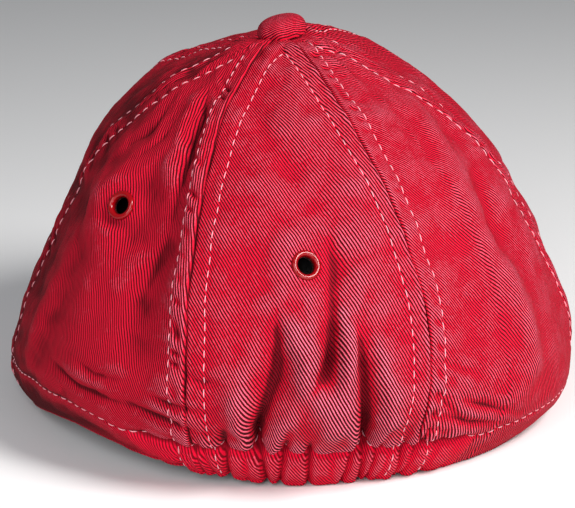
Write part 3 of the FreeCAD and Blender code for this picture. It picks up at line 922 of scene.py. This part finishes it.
def peak_point(a, t, depth):
    """A point of the peak: a runs from -1 to 1 along its root and t from the root to its edge."""
    bearing = 180.0 + a * PEAK_HALF
    root = base_point(bearing, np.zeros_like(bearing))
    root_front = base_point(np.array([180.0]), np.array([0.0]))[0]
    length = peak_length(a, PEAK_HIGH[1] - root_front[1])
    flat = (root - AXIS) * np.array([1.0, 1.0, 0.0])
    flat -= way(bearing) * PEAK_TUCK
    go = unit(flat * np.array([0.42, 1.0, 0.0]))
    place = AXIS + flat + go * ((length + PEAK_TUCK) * t)[..., None]
    corner_z = PEAK_LOW[2] + 1.0
    edge = corner_z + (PEAK_TIP_Z - corner_z) * (1.0 - a * a)
    top = root[..., 2] - 0.3 + (edge - root[..., 2] + 0.3) * smooth(t)
    from_edge = (1.0 - t) * (length + PEAK_TUCK)
    inset = np.clip(1.0 - from_edge / PEAK_ROUND, 0.0, 1.0)
    round_off = 1.0 - np.sqrt(np.clip(1.0 - np.square(inset), 0.0, 1.0))
    middle = PEAK_THICK / 2.0
    place[..., 2] = top - middle + (middle - depth) * (1.0 - 0.92 * round_off)
    return place


def peak_rows_height(t, length):
    """The rows of stitching across a peak press shallow channels into it."""
    from_edge = (1.0 - t) * length
    from_row = np.mod(from_edge - PEAK_ROW + PEAK_ROW / 2.0, PEAK_ROW) - PEAK_ROW / 2.0
    return -0.28 * bump(from_row / 0.7)


def peak_sheet(name, outer, inner, share=1.0):
    """A layer of the peak between two depths, reaching a share of the way to its edge and its corners."""
    a = share * np.sin(np.linspace(-1.0, 1.0, 190) * math.pi / 2.0)
    t = share * np.concatenate([np.linspace(0.0, 0.94, 90), np.linspace(0.945, 1.0, 14)])
    grid_a, grid_t = np.meshgrid(a, t)
    press = peak_rows_height(grid_t, 78.0) * (1.0 if outer < inner else -1.0) * (share == 1.0)
    outside = peak_point(grid_a, grid_t, outer - press)
    inside = peak_point(grid_a, grid_t, inner)
    u, v = grid_a * 80.0, grid_t * 75.0
    edge = 0.5 * bump((grid_t - 1.0) / 0.02)
    bands = [(outside[::-1], ribbed(u, v)[::-1], edge[::-1]), (inside, ribbed(u, v), edge * 0.0)]
    return loop_mesh(name, bands, len(t))


def make_peak(cloth, thread, board):
    rng = random.Random(23)
    for name, node, outer, inner in (("peak_top_cloth", "peak_top_cover", 0.0, 1.0),
                                     ("peak_under_cloth", "peak_under_cover", PEAK_THICK, PEAK_THICK - 1.0)):
        piece = peak_sheet(name, outer, inner)
        dress(piece, cloth, node, False)
    shapes = []
    for row in range(1, PEAK_ROWS + 1):
        a = np.linspace(-0.985, 0.985, 700)
        length = peak_length(a, PEAK_REACH) + PEAK_TUCK
        t = 1.0 - PEAK_ROW * row / length
        keep = t * length > PEAK_TUCK + 2.5
        if keep.sum() < 40:
            continue
        for depth, up in ((0.22, 1.0), (PEAK_THICK - 0.22, -1.0)):
            line = peak_point(a[keep], t[keep], np.full(keep.sum(), depth))
            shapes += stitches_along(line, np.tile([0.0, 0.0, up], (keep.sum(), 1)), rng, 0.24)
    dress(copies_of("peak_topstitching", shapes), thread, None, False)
    core = peak_sheet("peak_board_core", 1.0, PEAK_THICK - 1.0, 0.96)
    dress(core, board, "peak_board", False)


# ---- inside the crown
BAND_TALL = 26.0
BAND_THICK = 1.6


def make_tapes(cloth):
    strips, run = [], 0.0
    for k in range(len(SEAMS)):
        length = float(cloth_length(SEAM_GUESS[k]))
        s = lengths_up(HEM + 4.0, length - 16.0, 1.2)
        run += (s[-1] - s[0]) * MM
        middle = seam_at(k, s)
        reach = reach_of(base_point(middle, s))
        across = np.linspace(-5.0, 5.0, 9)[None, :]
        bearing = middle[:, None] + np.degrees(across / reach[:, None])
        grid = (bearing, s[:, None] + bearing * 0.0)
        strips.append(cloth_sheet("tape", *grid, CLOTH + 0.3, CLOTH + 0.7, float(middle[0])))
    tapes = joined("seam_tape_strips", strips)
    dress(tapes, cloth, "seam_tapes", True)


def lining(name, node, cloth, bearings, lengths, depths):
    """One piece inside the crown, on (first, last, count) bearings and (low, high, step) lengths."""
    bearing, s = np.meshgrid(np.linspace(*bearings), lengths_up(*lengths))
    piece = cloth_sheet(name, bearing, s, *depths, (bearings[0] + bearings[1]) / 2.0)
    dress(piece, cloth, node, node != "front_stiffener")
    return piece


def make_linings(tape_cloth, buckram, satin, knit, band_cloth):
    make_tapes(tape_cloth)
    stiff = lining("stiffener_cloth", "front_stiffener", buckram, (154.0, 206.0, 90),
                   (5.0, 96.0, 1.2), (CLOTH + 0.1, CLOTH + 0.65))
    label = lining("blank_label", "care_label", satin, (-8.0, 8.0, 44),
                   (HEM + 4.0, HEM + 38.0, 0.7), (CLOTH + 0.45, CLOTH + 0.85))
    elastic = lining("elastic_strip", "elastic_band", knit, (-34.0, 34.0, 180),
                     (2.6, 13.0, 1.0), (1.15, 2.25))
    make_sweatband(band_cloth)


def make_sweatband(band_cloth):
    bearing, up = np.meshgrid(np.linspace(53.0, 307.0, 420), np.linspace(0.0, 1.0, 30))
    rise = up * BAND_TALL
    hem = base_point(bearing, lifted(bearing, np.full(bearing.shape, 1.0)))
    sway = 0.35 * wobble(bearing * 1.6, rise, 22.0, 91) * up

    def face(depth):
        pinch = 0.7 * smooth((up - 0.93) / 0.07) + 0.35 * smooth((0.04 - up) / 0.04)
        inward = HEM_THICK + 0.25 - tucked(bearing, rise) + depth - sway + 0.35 * np.sin(math.pi * up)
        inward = inward + pinch * (0.5 - depth / 1.7) * 2.0
        place = hem - way(bearing) * inward[..., None]
        place[..., 2] = hem[..., 2] + 0.6 + rise
        return place

    uv = ribbed(np.radians(bearing) * HEM_REACH, rise)
    ridge = 0.4 * bump((up - 1.0) / 0.05)
    bands = [(face(0.0)[::-1], uv[::-1], ridge[::-1]), (face(BAND_THICK), uv, ridge)]
    piece = loop_mesh("sweatband_cloth", bands, 30)
    dress(piece, band_cloth, "sweatband", True)


PADS = ["crown_pad", "front_pad", "rear_pad", "right_pad", "left_pad"]


def make_pads(foam):
    """Moulded foam pads: the CAD pads remeshed and smoothed, which rounds their edges over."""
    for name in PADS:
        piece = add_object(name + "_foam", NODES[name].data.copy())
        piece.data.materials.clear()
        remesh = piece.modifiers.new("even", "REMESH")
        remesh.mode = "VOXEL"
        remesh.voxel_size = 0.0011
        soften = piece.modifiers.new("soften", "SMOOTH")
        soften.factor = 0.6
        soften.iterations = 14
        apply_modifiers(piece)
        piece.data.polygons.foreach_set("use_smooth", [True] * len(piece.data.polygons))
        piece.data.materials.append(foam)
        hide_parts(name)
        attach(piece, "insert")


def apply_modifiers(piece):
    graph = bpy.context.evaluated_depsgraph_get()
    mesh = bpy.data.meshes.new_from_object(piece.evaluated_get(graph))
    piece.modifiers.clear()
    piece.data = mesh


# ---- materials
class Finish:
    """A material's node tree, with short names for its nodes."""

    def __init__(self, name, roughness, **sockets):
        self.material = bpy.data.materials.new(name)
        self.material.use_nodes = True
        self.tree = self.material.node_tree
        self.surface = self.tree.nodes["Principled BSDF"]
        self.set("Roughness", roughness)
        for socket, value in sockets.items():
            self.set(socket.replace("_", " "), value)

    def set(self, socket, value):
        self.put(self.surface.inputs[socket], value)

    def put(self, socket, value):
        if isinstance(value, bpy.types.NodeSocket):
            self.tree.links.new(value, socket)
        else:
            socket.default_value = value

    def node(self, kind, inputs=None, output=0, **settings):
        """The output of a new node, with values or other outputs put into its inputs."""
        node = self.tree.nodes.new("ShaderNode" + kind)
        for key, value in settings.items():
            setattr(node, key, value)
        for key, value in (inputs or {}).items():
            self.put(node.inputs[key], value)
        return node.outputs[output]

    def math(self, operation, a, b=0.0, clamp=False):
        return self.node("Math", {0: a, 1: b}, operation=operation, use_clamp=clamp)

    def add(self, a, b):
        return self.math("ADD", a, b)

    def times(self, a, b):
        return self.math("MULTIPLY", a, b)

    def ramp(self, value, low, high, first=0.0, last=1.0):
        """A smooth step of a value from low to high."""
        inputs = dict(enumerate((value, low, high, first, last)))
        return self.node("MapRange", inputs, interpolation_type="SMOOTHSTEP")

    def mix(self, share, a, b):
        return self.node("Mix", {"Factor": share, 6: a, 7: b}, 2, data_type="RGBA")

    def noise(self, place, scale, detail=2.0, roughness=0.5, stretch=None):
        if stretch:
            place = self.node("VectorMath", {0: place, 1: stretch}, operation="MULTIPLY")
        inputs = {"Vector": place, "Scale": scale, "Detail": detail, "Roughness": roughness}
        return self.node("TexNoise", inputs)

    def cloth_place(self):
        return self.node("UVMap", uv_map="cloth")

    def object_place(self):
        return self.node("TexCoord", output="Object")

    # The per-point value of abrasion and fading, painted light and painted shade.
    def worn_and_shaded(self):
        return self.node("Attribute", output="Fac", attribute_name="wear_light_and_shade")

    def split(self, place):
        first = self.node("SeparateXYZ", {0: place})
        return first, first.node.outputs[1]

    def wave(self, turns):
        """A cosine from 0 to 1."""
        return self.add(self.times(self.math("COSINE", self.times(turns, 2.0 * math.pi)), 0.5), 0.5)

    def relief(self, height, distance, strength=1.0):
        inputs = {"Height": height, "Distance": distance, "Strength": strength}
        self.set("Normal", self.node("Bump", inputs))


def colour(red, green, blue):
    return (red, green, blue, 1.0)


def twill(name, dark, base, pale, wear_share, relief=0.9):
    """Coarse cotton twill: round ribs of slanted yarn, pale on its high places from abrasion, with painted
    shade in the gaps between the ribs and in folds.
    """
    f = Finish(name, 0.9, Specular_IOR_Level=0.12)
    place = f.cloth_place()
    across, along = f.split(place)
    drift = f.times(f.add(f.noise(place, 2.2, 2.0), -0.5), 0.55)
    turns = f.add(f.math("DIVIDE", across, TWILL_PITCH / 10.0), drift)
    rib = f.wave(turns)
    slant = f.times(f.math("FRACT", turns), 0.85)
    yarn = f.wave(f.add(f.math("DIVIDE", along, YARN_PITCH), slant))
    fibre = f.noise(place, 1.0, 3.0, 0.6, (95.0, 38.0, 1.0))
    patch = f.noise(place, 1.3, 3.0, 0.55)
    grain = f.noise(place, 9.0, 2.0, 0.6)
    body = f.ramp(rib, 0.02, 0.72)
    height = f.add(f.times(body, f.add(0.74, f.times(yarn, 0.26))), f.times(fibre, 0.25))
    # How far the rib tops pale: abrasion and fading on high places, painted light on the right side, and
    # random patches.
    rubbed_and_lit = f.add(f.times(f.worn_and_shaded(), 0.6), f.times(f.add(patch, -0.5), 0.8))
    rubbed_and_lit = f.add(f.add(rubbed_and_lit, f.times(f.add(grain, -0.5), 0.9)), wear_share)
    top = f.times(f.ramp(rib, 0.45, 1.0), f.add(0.35, f.times(f.ramp(fibre, 0.35, 0.65), 0.85)))
    share = f.math("MULTIPLY", top, rubbed_and_lit, True)
    # Painted shade between the ribs: the gaps are mixed towards the dark colour, less where the cloth lies
    # low and more where it stands high.
    shade_trim = f.math("MINIMUM", f.times(f.worn_and_shaded(), -0.22), 0.08)
    gap = f.ramp(f.add(f.add(rib, shade_trim), f.times(f.add(fibre, -0.5), 0.5)), 0.15, 0.70)
    shade = f.mix(gap, dark, base)
    # Painted shade where the per-point value is negative: in folds, in seam gaps, on the left and under the
    # button.
    painted_shade = f.ramp(f.worn_and_shaded(), -0.45, -1.6, 0.0, 0.86)
    f.set("Base Color", f.mix(painted_shade, f.mix(share, shade, pale), dark))
    f.relief(height, 0.00026, relief)
    return f.material


# The darkest reds are painted shade, in the gaps between the ribs and in folds. The gathered casing is the
# same twill with a brighter red, which is painted light, and a lighter shade colour.
RED_SHADE = colour(0.040, 0.0003, 0.002)
RED = colour(0.55, 0.0035, 0.024)
RED_PALE = colour(0.92, 0.19, 0.28)
CASING_SHADE = colour(0.16, 0.0006, 0.006)
CASING_LIT_RED = colour(0.68, 0.002, 0.028)
YARN_PITCH = 0.088          # in centimetres, like all cloth coordinates


def thread_finish():
    f = Finish("topstitch thread", 0.62, Sheen_Weight=0.2)
    fibre = f.noise(f.object_place(), 2600.0, 2.0)
    f.set("Base Color", f.mix(fibre, colour(0.62, 0.15, 0.20), colour(0.80, 0.36, 0.40)))
    return f.material


def enamel_finish():
    f = Finish("red enamel", 0.13, Specular_IOR_Level=0.3)
    f.set("Base Color", colour(0.21, 0.001, 0.003))
    speck = f.noise(f.object_place(), 420.0, 3.0)
    f.relief(speck, 0.00004, 0.5)
    return f.material


def metal_finish():
    f = Finish("brushed steel", 0.34, Metallic=1.0)
    streak = f.noise(f.object_place(), 900.0, 3.0)
    f.set("Base Color", f.mix(streak, colour(0.45, 0.44, 0.43), colour(0.66, 0.65, 0.63)))
    return f.material


def woven(name, low, high, pitch, roughness=0.9):
    """A plain close weave on a piece with cloth coordinates."""
    f = Finish(name, roughness, Sheen_Weight=0.1)
    place = f.cloth_place()
    across, along = f.split(place)
    warp = f.wave(f.math("DIVIDE", across, pitch))
    weft = f.wave(f.math("DIVIDE", along, pitch))
    check = f.math("MAXIMUM", warp, weft)
    grain = f.noise(place, 60.0, 3.0)
    f.set("Base Color", f.mix(f.add(f.times(check, 0.6), f.times(grain, 0.4)), low, high))
    f.relief(f.add(check, grain), pitch * 0.0012, 0.8)
    return f.material


def plastic(name, low, high, grain_scale, roughness):
    f = Finish(name, roughness)
    grain = f.noise(f.object_place(), grain_scale, 2.0)
    f.set("Base Color", f.mix(grain, low, high))
    f.relief(grain, 0.00008, 0.5)
    return f.material


def foam_finish():
    f = Finish("closed-cell foam", 0.92)
    cell = f.node("TexVoronoi", {"Vector": f.object_place(), "Scale": 900.0}, "Distance")
    f.set("Base Color", f.mix(cell, colour(0.055, 0.055, 0.060), colour(0.018, 0.018, 0.020)))
    f.relief(cell, -0.0002, 0.6)
    return f.material


def paint(node, material):
    mesh = NODES[node].data
    mesh.materials.clear()
    mesh.materials.append(material)


# ---- the whole cap
def build():
    red = twill("red twill", RED_SHADE, RED, RED_PALE, 0.12)
    thread = thread_finish()
    metal = metal_finish()
    make_panels(red)
    # The casing's brighter red is painted light on a copy of the same twill.
    make_casing(twill("red twill, gathered", CASING_SHADE, CASING_LIT_RED, RED_PALE, -0.3, 0.5))
    make_topstitching(thread)
    make_eyelets(enamel_finish(), metal)
    make_button(red)
    make_button_core(metal)
    board = plastic("peak board", colour(0.75, 0.73, 0.68), colour(0.85, 0.83, 0.78), 300.0, 0.6)
    make_peak(red, thread, board)
    make_linings(woven("cotton tape", colour(0.30, 0.008, 0.024), colour(0.52, 0.016, 0.05), 0.06),
                 woven("buckram", colour(0.55, 0.53, 0.48), colour(0.82, 0.80, 0.74), 0.11),
                 woven("satin label", colour(0.72, 0.71, 0.68), colour(0.88, 0.87, 0.84), 0.03, 0.5),
                 woven("elastic", colour(0.60, 0.59, 0.56), colour(0.80, 0.79, 0.76), 0.09),
                 woven("sweatband", colour(0.014, 0.014, 0.016), colour(0.05, 0.05, 0.055), 0.07))
    make_pads(foam_finish())
    black = plastic("textured shell", colour(0.010, 0.010, 0.011), colour(0.022, 0.022, 0.024), 1400.0, 0.48)
    paint("hard_shell", black)
    paint("button_rivet", metal)


# ---- floor, light and camera
AZIMUTH, ELEVATION, DISTANCE = -5.0, 16.5, 800.0
LENS = 139.1
AIM = Vector(AXIS) + Vector((0.0, 0.0, 60.0))


def view_axes():
    a, e = math.radians(AZIMUTH), math.radians(ELEVATION)
    back = Vector((math.sin(a) * math.cos(e), -math.cos(a) * math.cos(e), math.sin(e)))
    right = Vector((math.cos(a), math.sin(a), 0.0))
    return back, right, back.cross(right)


def make_floor():
    bpy.ops.mesh.primitive_plane_add(size=12.0, location=(0.0, 0.0, -0.0004))
    floor = bpy.context.object
    floor.name = "floor"
    f = Finish("pale floor", 0.8, Specular_IOR_Level=0.1)
    f.set("Base Color", colour(0.80, 0.80, 0.80))
    floor.data.materials.append(f.material)


def add_light(name, place, size, power, tint):
    """A soft light, at millimetres to the right of, in front of and above the cap as the camera sees it."""
    lamp = bpy.data.lights.new(name, "AREA")
    lamp.shape = "DISK"
    lamp.size = size
    lamp.energy = power
    lamp.color = tint
    light = add_object(name, lamp)
    back, right, _ = view_axes()
    flat = Vector((back.x, back.y, 0.0)).normalized()
    spot = AIM + right * place[0] + flat * place[1] + Vector((0.0, 0.0, place[2]))
    light.location = spot * MM
    light.rotation_euler = (AIM - spot).to_track_quat("-Z", "Y").to_euler()


def make_studio():
    make_floor()
    add_light("key", (560.0, 450.0, 650.0), 0.42, 12.8, (1.0, 0.985, 0.97))
    add_light("fill", (-280.0, 840.0, 420.0), 0.7, 6.4, (0.97, 0.98, 1.0))
    add_light("low fill", (430.0, 880.0, -20.0), 0.5, 4.2, (1.0, 1.0, 1.0))
    world = bpy.data.worlds.new("studio")
    world.use_nodes = True
    inputs = world.node_tree.nodes["Background"].inputs
    inputs["Color"].default_value = colour(0.92, 0.95, 1.0)
    inputs["Strength"].default_value = 0.2
    bpy.context.scene.world = world
    bpy.context.scene.view_settings.view_transform = "Standard"


def make_camera():
    lens = bpy.data.cameras.new("camera")
    lens.sensor_width = 36.0
    lens.lens = LENS
    lens.clip_start, lens.clip_end = 0.05, 20.0
    camera = add_object("camera", lens)
    back, right, up = view_axes()
    target = AIM + Vector((0.0, 10.0, 0.0)) + right * 2.5 - up * 7.8
    camera.location = (target + back * DISTANCE) * MM
    camera.rotation_euler = back.to_track_quat("Z", "Y").to_euler()
    bpy.context.scene.camera = camera


build()
make_studio()
make_camera()
